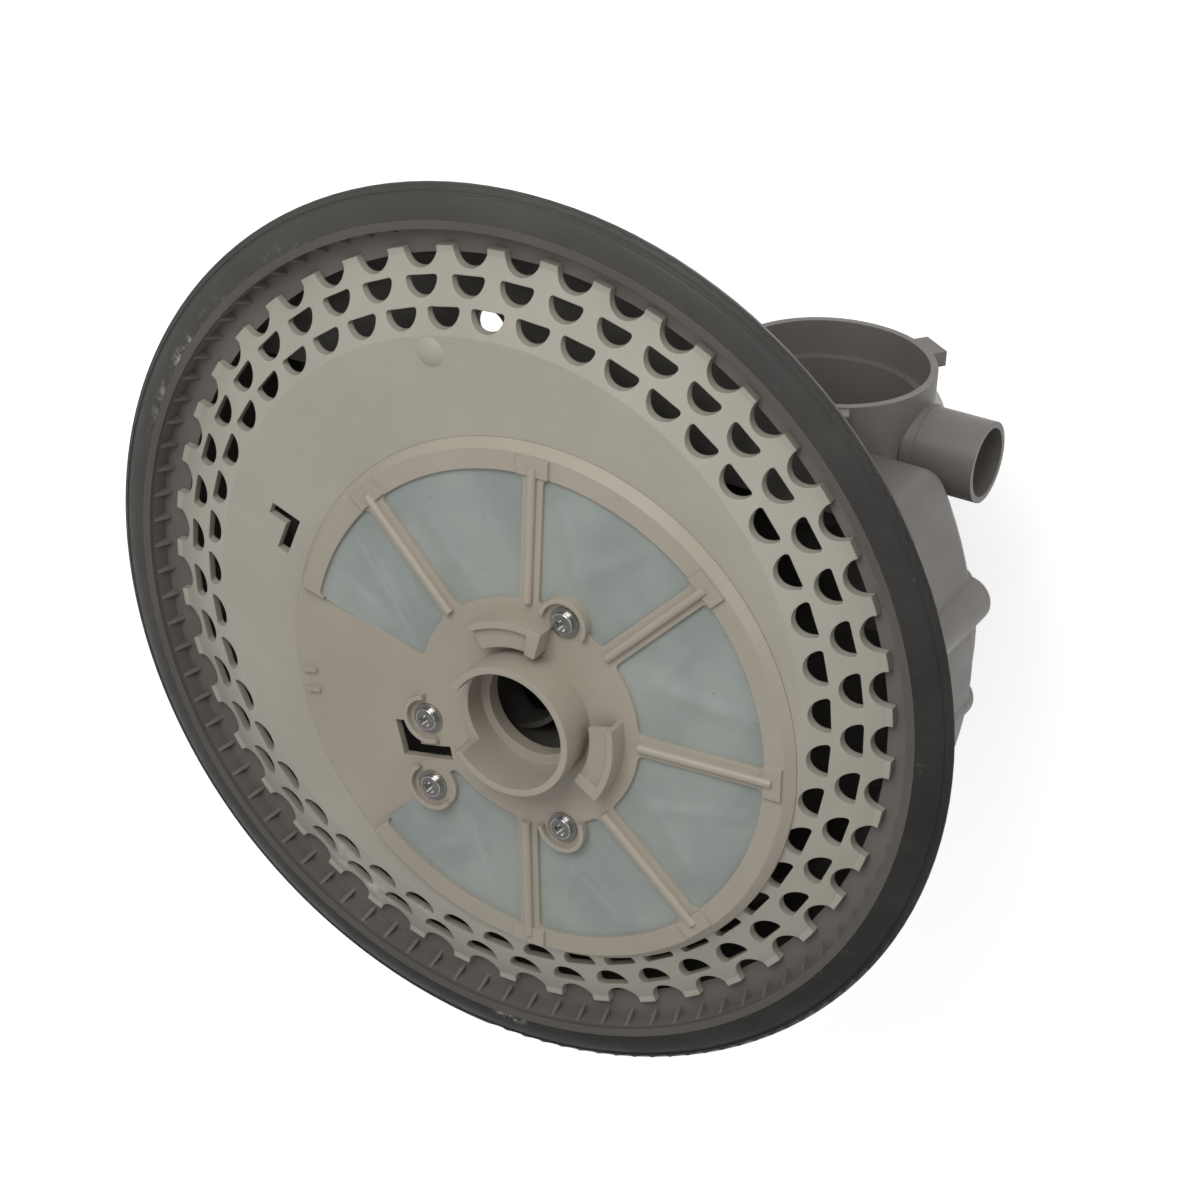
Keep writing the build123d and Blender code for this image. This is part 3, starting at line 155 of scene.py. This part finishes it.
# Pitch of the filter's threads, the stator's sheets and the windings' wire
THREAD_PITCH = 0.42
SHEET_PITCH = 0.65
WIRE_PITCH = 0.9

# Range that noise mostly keeps to
NOISE_LOW = 0.3
NOISE_HIGH = 0.7


# Node helpers
def new_material(name, **constants):
    """Node material on a Principled shader, with constants set on the shader's own sockets."""
    material = bpy.data.materials.new(name)
    material.use_nodes = True
    shader = material.node_tree.nodes["Principled BSDF"]
    for socket, value in constants.items():
        shader.inputs[socket.replace("_", " ")].default_value = value
    return material, material.node_tree, shader


def add(tree, kind, **settings):
    """New node of a kind, with its settings."""
    node = tree.nodes.new("ShaderNode" + kind)
    for key, value in settings.items():
        setattr(node, key, value)
    return node


def join(tree, socket, value):
    """Links an input to another node's output, or sets it to a value."""
    if isinstance(value, bpy.types.NodeSocket):
        tree.links.new(value, socket)
    else:
        socket.default_value = value


def feed(tree, node, **inputs):
    """Joins a node's inputs by name."""
    for key, value in inputs.items():
        join(tree, node.inputs[key.replace("_", " ")], value)
    return node


def place(tree):
    """Position on the part in metres, the same at every pose."""
    return add(tree, "TexCoord").outputs["Object"]


def noise(tree, size_mm, detail=3.0, roughness=0.55):
    """Noise whose features are about size_mm across."""
    node = add(tree, "TexNoise")
    feed(tree, node, Vector=place(tree), Scale=1 / (size_mm * MM), Detail=detail, Roughness=roughness)
    return node.outputs["Fac"]


def band(tree, value, low, high, start=0.0, end=1.0):
    """Smooth step of a value between low and high, from start to end."""
    node = add(tree, "MapRange", interpolation_type="SMOOTHSTEP")
    feed(tree, node, Value=value)
    for key, number in (("From Min", low), ("From Max", high), ("To Min", start), ("To Max", end)):
        node.inputs[key].default_value = number
    return node.outputs["Result"]


def spread(tree, value, start=0.0, end=1.0):
    """Turns the usual range of noise into start to end."""
    return band(tree, value, NOISE_LOW, NOISE_HIGH, start, end)


def combine(tree, operation, first, second=0.0):
    """Math node on two values."""
    node = add(tree, "Math", operation=operation)
    for socket, value in zip(node.inputs, (first, second)):
        join(tree, socket, value)
    return node.outputs[0]


def blend_colour(tree, factor, first, second):
    """Mix of two colours: on the Mix node, inputs 6 and 7 and output 2 are the colours."""
    node = add(tree, "Mix", data_type="RGBA")
    for index, value in ((0, factor), (6, first), (7, second)):
        join(tree, node.inputs[index], value)
    return node.outputs[2]


def blend_value(tree, factor, first, second):
    """Mix of two values: on the Mix node, inputs 2 and 3 and output 0 are the values."""
    node = add(tree, "Mix", data_type="FLOAT")
    for index, value in ((0, factor), (2, first), (3, second)):
        join(tree, node.inputs[index], value)
    return node.outputs[0]


def vector_math(tree, operation, vector, fixed=None):
    """Outputs of a vector math node on a linked vector and, where needed, a fixed one."""
    node = add(tree, "VectorMath", operation=operation)
    tree.links.new(vector, node.inputs[0])
    if fixed is not None:
        node.inputs[1].default_value = fixed
    return node.outputs


def upward(tree, vector):
    """Upward part of a vector."""
    split = add(tree, "SeparateXYZ")
    tree.links.new(vector, split.inputs[0])
    return split.outputs["Z"]


def bump(tree, height, depth_mm, strength=1.0, normal=None):
    """Surface relief of a given depth."""
    node = add(tree, "Bump")
    feed(tree, node, Height=height, Distance=depth_mm * MM, Strength=strength)
    if normal is not None:
        feed(tree, node, Normal=normal)
    return node.outputs["Normal"]


def soft_edges(tree, radius_mm):
    """Normal that rounds every edge by a small radius."""
    node = add(tree, "Bevel", samples=6)
    feed(tree, node, Radius=radius_mm * MM)
    return node.outputs["Normal"]


def rgb(red, green, blue):
    """Linear colour from display values from 0 to 255."""
    def linear(value):
        value = value / 255
        return value / 12.92 if value <= 0.04045 else ((value + 0.055) / 1.055) ** 2.4
    return (linear(red), linear(green), linear(blue), 1.0)


def near_point(tree, point, radius_mm):
    """One at a point of the part, falling to zero at a radius."""
    distance = vector_math(tree, "DISTANCE", place(tree), point)["Value"]
    return band(tree, distance, radius_mm * MM, 0.0)


def rim_radius(tree):
    """Distance from the rim's upright axis."""
    flat = vector_math(tree, "MULTIPLY", place(tree), (1.0, 1.0, 0.0))["Vector"]
    return vector_math(tree, "LENGTH", flat)["Value"]


# Colours of dust (also used for painted light on the seal), painted sheen, painted shade on the rim and bare
# steel
DUST_AND_PAINTED_LIGHT = rgb(196, 192, 184)
PAINTED_SHEEN = rgb(226, 226, 220)
PAINTED_RIM_SHADE = rgb(44, 42, 39)
BARE_STEEL = rgb(184, 183, 180)


# Materials
def spots(tree, places, pattern):
    """Shows a pattern only round some places, each with its reach in millimetres and its weight."""
    total = None
    for point, reach, weight in places:
        spot = combine(tree, "MULTIPLY", near_point(tree, Vector(point) * MM, reach), weight)
        spot = combine(tree, "MULTIPLY", spot, pattern)
        total = spot if total is None else combine(tree, "MAXIMUM", total, spot)
    return total


def rim_mask(tree):
    """One on the rim's upper edge, where shade is painted."""
    height = band(tree, upward(tree, place(tree)), (RIM_LOW_Z - RIM_FADE) * MM, RIM_LOW_Z * MM)
    outside = band(tree, rim_radius(tree), (RIM_IN_R - RIM_FADE) * MM, RIM_IN_R * MM)
    return combine(tree, "MULTIPLY", height, outside)


def moulded(name, dark, light, roughness, edge_mm=0.35, sheen_spots=(), painted_rim_shade=0.0):
    """Moulded plastic with faint mottling, grain, soft edges and dust, and, where asked, a painted sheen in
    spots and painted shade on the rim's upper edge.
    """
    material, tree, shader = new_material(name, Specular_IOR_Level=0.42)
    flow = noise(tree, 46, 5.0, 0.6)
    colour = blend_colour(tree, spread(tree, flow), dark, light)
    specks = band(tree, noise(tree, 2.2, 4.0, 0.7), 0.66, 0.78, 0.0, 0.12)
    colour = blend_colour(tree, specks, colour, DUST_AND_PAINTED_LIGHT)
    # Painted sheen: whitish smears round the given spots, for light glancing off the plate
    if sheen_spots:
        sheen_streaks = band(tree, noise(tree, 8, 4.0, 0.6), 0.4, 0.62)
        colour = blend_colour(tree, spots(tree, sheen_spots, sheen_streaks), colour, PAINTED_SHEEN)
    # Painted shade: the rim's upper edge is darkened for the shade that falls there
    if painted_rim_shade:
        rim_shade = combine(tree, "MULTIPLY", rim_mask(tree), painted_rim_shade)
        colour = blend_colour(tree, rim_shade, colour, PAINTED_RIM_SHADE)
    grain = noise(tree, 0.5, 2.0, 0.6)
    smear = noise(tree, 17, 3.0)
    feed(tree, shader, Base_Color=colour)
    feed(tree, shader, Roughness=spread(tree, smear, roughness - 0.06, roughness + 0.07))
    feed(tree, shader, Normal=bump(tree, grain, 0.02, 0.5, soft_edges(tree, edge_mm)))
    return material


def seal_painted_light(tree):
    """Painted light on the seal: paler on its side towards -X and +Y."""
    along = vector_math(tree, "DOT_PRODUCT", place(tree), PAINTED_LIGHT_SIDE)["Value"]
    return band(tree, along, -PAINTED_LIGHT_REACH * MM, PAINTED_LIGHT_REACH * MM, 0.0, PAINTED_LIGHT_WEIGHT)


def seal_grooves(tree):
    """Fine moulded grooves round the seal's outer edge."""
    radius = rim_radius(tree)
    rings = combine(tree, "SINE", combine(tree, "MULTIPLY", radius, math.tau / (GROOVE_PITCH * MM)))
    return combine(tree, "MULTIPLY", rings, band(tree, radius, GROOVE_IN_R * MM, (GROOVE_IN_R + 1) * MM))


def rubber(name, dark, light, is_seal=False):
    """Smooth rubber with a soft sheen; the seal also has painted light on one side, grooves and dried
    residue.
    """
    material, tree, shader = new_material(name, Specular_IOR_Level=0.08)
    flow = noise(tree, 30, 4.0, 0.6)
    colour = blend_colour(tree, spread(tree, flow), dark, light)
    scuffs = band(tree, noise(tree, 6, 6.0, 0.72), 0.6, 0.78, 0.0, 0.10)
    colour = blend_colour(tree, scuffs, colour, DUST_AND_PAINTED_LIGHT)
    normal = bump(tree, noise(tree, 0.7, 2.0), 0.012, 0.4)
    if is_seal:
        # Painted light: the seal is paler towards -X and +Y, on the side the light falls on
        colour = blend_colour(tree, seal_painted_light(tree), colour, DUST_AND_PAINTED_LIGHT)
        colour = blend_colour(tree, residue_mask(tree), colour, DUST_AND_PAINTED_LIGHT)
        normal = bump(tree, seal_grooves(tree), 0.12, 0.7, normal)
    smear = noise(tree, 12, 4.0)
    feed(tree, shader, Base_Color=colour, Roughness=spread(tree, smear, 0.34, 0.48), Normal=normal)
    return material


def residue_mask(tree):
    """Where water has dried on the seal: a broken line along its inner edge and a few specks."""
    edge = band(tree, rim_radius(tree), RESIDUE_OUT_R * MM, RESIDUE_IN_R * MM)
    crust = band(tree, noise(tree, 5, 8.0, 0.75), 0.47, 0.62)
    return spots(tree, RESIDUE_SPOTS, combine(tree, "MULTIPLY", edge, crust))


def steel(name, colour, roughness, scratch_mm=0.25):
    """Plated steel with fine scratches and slight cloudiness."""
    material, tree, shader = new_material(name, Metallic=1.0)
    cloud = noise(tree, 2.5, 5.0, 0.65)
    dull = tuple(0.82 * part for part in colour[:3]) + (1.0,)
    feed(tree, shader, Base_Color=blend_colour(tree, band(tree, cloud, NOISE_LOW, 0.75), colour, dull))
    feed(tree, shader, Roughness=spread(tree, cloud, roughness - 0.06, roughness + 0.1))
    scratch = noise(tree, scratch_mm, 2.0, 0.7)
    feed(tree, shader, Normal=bump(tree, scratch, 0.004, 0.4, soft_edges(tree, 0.2)))
    return material


def cast_metal(name):
    """Die-cast aluminium: grainy, with dull patches."""
    material, tree, shader = new_material(name, Metallic=0.85)
    cloud = noise(tree, 14, 5.0, 0.65)
    colour = blend_colour(tree, spread(tree, cloud), rgb(160, 160, 157), rgb(169, 169, 166))
    feed(tree, shader, Base_Color=colour, Roughness=spread(tree, cloud, 0.42, 0.58))
    grain = noise(tree, 0.8, 4.0, 0.7)
    feed(tree, shader, Normal=bump(tree, grain, 0.06, 0.6, soft_edges(tree, 0.5)))
    return material


def wave_scale(pitch_mm):
    """Scale of a wave texture for a pitch: at scale 1 its pitch is a tenth of pi metres."""
    return math.pi / (10 * pitch_mm * MM)


def bands_of(tree, axis, pitch_mm):
    """Even bands across one axis of the part, a pitch apart."""
    wave = add(tree, "TexWave", wave_type="BANDS", bands_direction=axis, wave_profile="SIN")
    feed(tree, wave, Vector=place(tree), Scale=wave_scale(pitch_mm), Distortion=0.0)
    return wave.outputs["Fac"]


def laminated(name):
    """Stack of thin steel sheets, seen edge on."""
    material, tree, shader = new_material(name, Metallic=0.9)
    sheets = bands_of(tree, "Z", SHEET_PITCH)
    cloud = noise(tree, 9, 4.0, 0.6)
    base = blend_colour(tree, spread(tree, cloud), rgb(120, 119, 118), rgb(131, 130, 128))
    gaps = band(tree, sheets, 0.0, 0.35, 0.55, 0.0)
    feed(tree, shader, Base_Color=blend_colour(tree, gaps, base, rgb(52, 51, 50)))
    feed(tree, shader, Roughness=spread(tree, cloud, 0.36, 0.5))
    feed(tree, shader, Normal=bump(tree, sheets, 0.12, 0.6, soft_edges(tree, 0.3)))
    return material


def wound_copper(name):
    """Enamelled copper wire laid round the pump axis."""
    material, tree, shader = new_material(name, Metallic=0.75, Coat_Weight=0.5, Coat_Roughness=0.2)
    rings = add(tree, "TexWave", wave_type="RINGS", rings_direction="Z", wave_profile="SIN")
    centred = vector_math(tree, "SUBTRACT", place(tree), PUMP_AXIS)["Vector"]
    feed(tree, rings, Vector=centred, Scale=wave_scale(WIRE_PITCH), Distortion=0.6)
    strands = combine(tree, "MAXIMUM", rings.outputs["Fac"], bands_of(tree, "Z", WIRE_PITCH))
    base = blend_colour(tree, spread(tree, noise(tree, 7)), rgb(146, 78, 44), rgb(178, 102, 58))
    gaps = band(tree, strands, 0.0, 0.5, 0.6, 0.0)
    feed(tree, shader, Base_Color=blend_colour(tree, gaps, base, rgb(78, 38, 22)))
    feed(tree, shader, Roughness=spread(tree, noise(tree, 3), 0.28, 0.42))
    feed(tree, shader, Normal=bump(tree, strands, 0.3, 0.8))
    return material


def woven_mesh(name):
    """Fine woven filter cloth: faint pale threads, soft waves and a few specks of dirt."""
    material, tree, shader = new_material(name, Specular_IOR_Level=0.5, Sheen_Weight=0.25)
    weft = bands_of(tree, "X", THREAD_PITCH)
    threads = combine(tree, "MULTIPLY", weft, bands_of(tree, "Y", THREAD_PITCH))
    cloud = noise(tree, 24, 3.0, 0.5)
    base = blend_colour(tree, spread(tree, cloud), rgb(134, 141, 136), rgb(148, 154, 149))
    base = blend_colour(tree, band(tree, threads, 0.35, 0.95, 0.0, 0.10), base, rgb(182, 187, 182))
    dirt = band(tree, noise(tree, 3.2, 3.0, 0.7), 0.70, 0.76, 0.0, 0.5)
    feed(tree, shader, Base_Color=blend_colour(tree, dirt, base, rgb(96, 92, 84)))
    feed(tree, shader, Roughness=spread(tree, cloud, 0.30, 0.42))
    waves = bump(tree, noise(tree, 14, 2.0, 0.45), 0.25, 0.8)
    feed(tree, shader, Normal=bump(tree, threads, 0.015, 0.2, waves))
    return material


MATERIALS = {
    # Sump plastic, with painted shade on the rim's upper edge
    "sump_plastic": moulded("sump_plastic", rgb(101, 97, 93), rgb(109, 105, 100), 0.46, painted_rim_shade=0.45),
    "seal_rubber": rubber("seal_rubber", rgb(48, 47, 46), rgb(56, 55, 53), is_seal=True),
    # Coarse plate, with painted sheen low on the left
    "plate_plastic": moulded("plate_plastic", rgb(160, 155, 144), rgb(167, 162, 150), 0.4, 0.5, PLATE_SHEEN_SPOTS),
    "frame_plastic": moulded("frame_plastic", rgb(157, 149, 136), rgb(164, 156, 143), 0.38, 0.5),
    "filter_mesh": woven_mesh("filter_mesh"),
    "screw_steel": steel("screw_steel", BARE_STEEL, 0.2, scratch_mm=0.6),
    "pump_plastic": moulded("pump_plastic", rgb(104, 101, 96), rgb(120, 117, 111), 0.45),
    "impeller_plastic": moulded("impeller_plastic", rgb(176, 172, 162), rgb(190, 186, 176), 0.4),
    "seal_seat": moulded("seal_seat", rgb(206, 204, 198), rgb(220, 218, 212), 0.3),
    "gasket_rubber": rubber("gasket_rubber", rgb(34, 34, 34), rgb(46, 45, 45)),
    "motor_cast": cast_metal("motor_cast"),
    "lamination": laminated("lamination"),
    "winding": wound_copper("winding"),
    "bearing_steel": steel("bearing_steel", rgb(188, 190, 192), 0.2),
    "terminal_plastic": moulded("terminal_plastic", rgb(214, 210, 200), rgb(226, 223, 214), 0.38),
    "contact_brass": steel("contact_brass", rgb(206, 174, 104), 0.28),
}

for subpart in frame["record"]["subparts"]:
    node_mesh = nodes[subpart["node"]].data
    node_mesh.materials.clear()
    node_mesh.materials.append(MATERIALS[subpart["material_slot"]])


# Filter cloth
def cloth_z(radius):
    """Height of the frame's upper face, which falls from the hub to the ring."""
    return HUB_Z + (radius - HUB_R) * (RING_TOP_Z - HUB_Z) / (RING_TOP_R - HUB_R)


def polar(radius, degrees):
    """Point in the plane at a radius and an angle."""
    angle = math.radians(degrees)
    return Vector((radius * math.cos(angle), radius * math.sin(angle)))


def fold_height(point, folds):
    """Height of the cloth's folds at a point: soft ridges that die away at both ends."""
    height = CLOTH_SAG * solid_noise.noise((point.x / CLOTH_SAG_WIDTH, point.y / CLOTH_SAG_WIDTH, 0.0))
    for start, end, width, rise in folds:
        first, last = polar(*start), polar(*end)
        along = (point - first).dot(last - first) / (last - first).length_squared
        along = min(1.0, max(0.0, along))
        nearest = first.lerp(last, along)
        taper = math.sin(math.pi * along) ** 0.5
        height += rise * taper * math.exp(-(((point - nearest).length / width) ** 2))
    return height


def window_edges():
    """Each window's two sides: the angle of a rib or panel edge, and half the rib's width."""
    sides = [(angle, RIB_HALF) for angle in RIB_ANGLES] + [(PANEL_EDGES[0], 0.0)]
    return list(zip(sides, sides[1:])) + [((PANEL_EDGES[1], 0.0), (RIB_ANGLES[0] + 360, RIB_HALF))]


def side_angle(side, radius):
    """How far a window's side stands off its angle at a radius, tucked into the frame."""
    return math.degrees(math.asin((side[1] - CLOTH_TUCK) / radius))


def add_pane(mesh, sides, folds):
    """One window's cloth as a fine grid, clamped at its borders."""
    low_r, high_r = HUB_R - CLOTH_TUCK, WINDOW_R + CLOTH_TUCK
    rows = round((high_r - low_r) / CLOTH_STEP)
    span = math.radians(sides[1][0] - sides[0][0])
    columns = round(span * high_r / CLOTH_STEP)
    grid = []
    for i in range(rows + 1):
        radius = low_r + (high_r - low_r) * i / rows
        first = sides[0][0] + side_angle(sides[0], radius)
        last = sides[1][0] - side_angle(sides[1], radius)
        line = []
        for j in range(columns + 1):
            angle = first + (last - first) * j / columns
            across = math.radians(min(angle - first, last - angle)) * radius
            border = min(radius - low_r, high_r - radius, across)
            fade = min(1.0, border / CLOTH_FADE)
            point = polar(radius, angle)
            z = cloth_z(radius) - CLOTH_DROP + fade * fade * (3 - 2 * fade) * fold_height(point, folds)
            line.append((point, mesh.verts.new(Vector((point.x, point.y, z)) * MM + PUMP_AXIS)))
        grid.append(line)
    pads = [polar(*pad) for pad in SCREW_PADS]
    for low, high in zip(grid, grid[1:]):
        for j in range(columns):
            corners = (low[j], low[j + 1], high[j + 1], high[j])
            if all((point - pad).length > SCREW_PAD_R for point, vert in corners for pad in pads):
                mesh.faces.new([vert for point, vert in reversed(corners)])


def add_cloth():
    """Fine woven cloth of the filter, one pane in each window of the frame."""
    build = bmesh.new()
    for sides, folds in zip(window_edges(), CLOTH_FOLDS):
        add_pane(build, sides, folds)
    bmesh.ops.delete(build, geom=[vert for vert in build.verts if not vert.link_faces], context="VERTS")
    for face in build.faces:
        face.smooth = True
    mesh = bpy.data.meshes.new("filter_cloth")
    build.to_mesh(mesh)
    build.free()
    mesh.materials.append(MATERIALS["filter_mesh"])
    cloth = bpy.data.objects.new("filter_cloth", mesh)
    bpy.context.scene.collection.objects.link(cloth)
    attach(cloth, "pump_body")
    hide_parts("fine_filter_mesh")


# Stage: a white floor that keeps a soft shadow, and soft light
def seen_directly(tree):
    """One for what the camera sees, straight or by reflection."""
    rays = add(tree, "LightPath").outputs
    seen = combine(tree, "MAXIMUM", rays["Is Camera Ray"], rays["Is Glossy Ray"])
    return combine(tree, "MAXIMUM", seen, rays["Is Transmission Ray"])


def floor_material():
    """White floor: diffuse for the light it gives back, lifted to white where the camera sees it."""
    material = bpy.data.materials.new("floor")
    material.use_nodes = True
    tree = material.node_tree
    tree.nodes.clear()
    paper = feed(tree, add(tree, "BsdfDiffuse"), Color=(FLOOR_GREY, FLOOR_GREY, FLOOR_GREY, 1.0))
    glow = feed(tree, add(tree, "Emission"), Color=(1.0, 1.0, 1.0, 1.0), Strength=FLOOR_LIFT)
    lifted = add(tree, "AddShader")
    tree.links.new(paper.outputs[0], lifted.inputs[0])
    tree.links.new(glow.outputs[0], lifted.inputs[1])
    mix = add(tree, "MixShader")
    tree.links.new(seen_directly(tree), mix.inputs[0])
    tree.links.new(paper.outputs[0], mix.inputs[1])
    tree.links.new(lifted.outputs[0], mix.inputs[2])
    tree.links.new(mix.outputs[0], add(tree, "OutputMaterial").inputs["Surface"])
    return material


def add_floor():
    """Wide flat floor under the motor's foot."""
    low = cad_box[0][2]
    corners = [(x * FLOOR_HALF, y * FLOOR_HALF, low) for x, y in ((-1, -1), (1, -1), (1, 1), (-1, 1))]
    mesh = bpy.data.meshes.new("floor")
    mesh.from_pydata(corners, [], [(0, 1, 2, 3)])
    mesh.materials.append(floor_material())
    floor = bpy.data.objects.new("floor", mesh)
    bpy.context.scene.collection.objects.link(floor)


def add_world():
    """Even soft light all round, white where it is seen and darker overhead in reflections."""
    world = bpy.data.worlds.new("studio")
    world.use_nodes = True
    tree = world.node_tree
    rays = add(tree, "LightPath").outputs
    rise = upward(tree, add(tree, "TexCoord").outputs["Generated"])
    room = band(tree, rise, OVERHEAD_LOW, OVERHEAD_HIGH, 1.0, OVERHEAD_LEVEL)
    level = blend_value(tree, rays["Is Glossy Ray"], WORLD_LEVEL, room)
    seen = combine(tree, "MAXIMUM", rays["Is Camera Ray"], rays["Is Transmission Ray"])
    level = blend_value(tree, seen, level, 1.0)
    feed(tree, tree.nodes["Background"], Color=(1.0, 1.0, 1.0, 1.0), Strength=level)
    bpy.context.scene.world = world


def add_lamp(name, at, size, power):
    """Square soft box that points at the middle of the part."""
    light = bpy.data.lights.new(name, "AREA")
    light.size = size
    light.energy = power
    lamp = bpy.data.objects.new(name, light)
    lamp.location = at
    lamp.rotation_euler = (LAMP_TARGET - Vector(at)).to_track_quat("-Z", "Y").to_euler()
    bpy.context.scene.collection.objects.link(lamp)


def add_camera():
    """Camera at the photograph's viewing angle."""
    lens = bpy.data.cameras.new("camera")
    lens.lens = CAMERA_LENS
    lens.sensor_fit = "HORIZONTAL"
    lens.sensor_width = CAMERA_SENSOR
    camera = bpy.data.objects.new("camera", lens)
    camera.location = CAMERA_AT
    camera.rotation_euler = Euler([math.radians(angle) for angle in CAMERA_TURN], "XYZ")
    bpy.context.scene.collection.objects.link(camera)
    bpy.context.scene.camera = camera


add_cloth()
add_floor()
add_world()
for lamp_values in LAMPS:
    add_lamp(*lamp_values)
add_camera()
bpy.context.scene.view_settings.view_transform = "Standard"
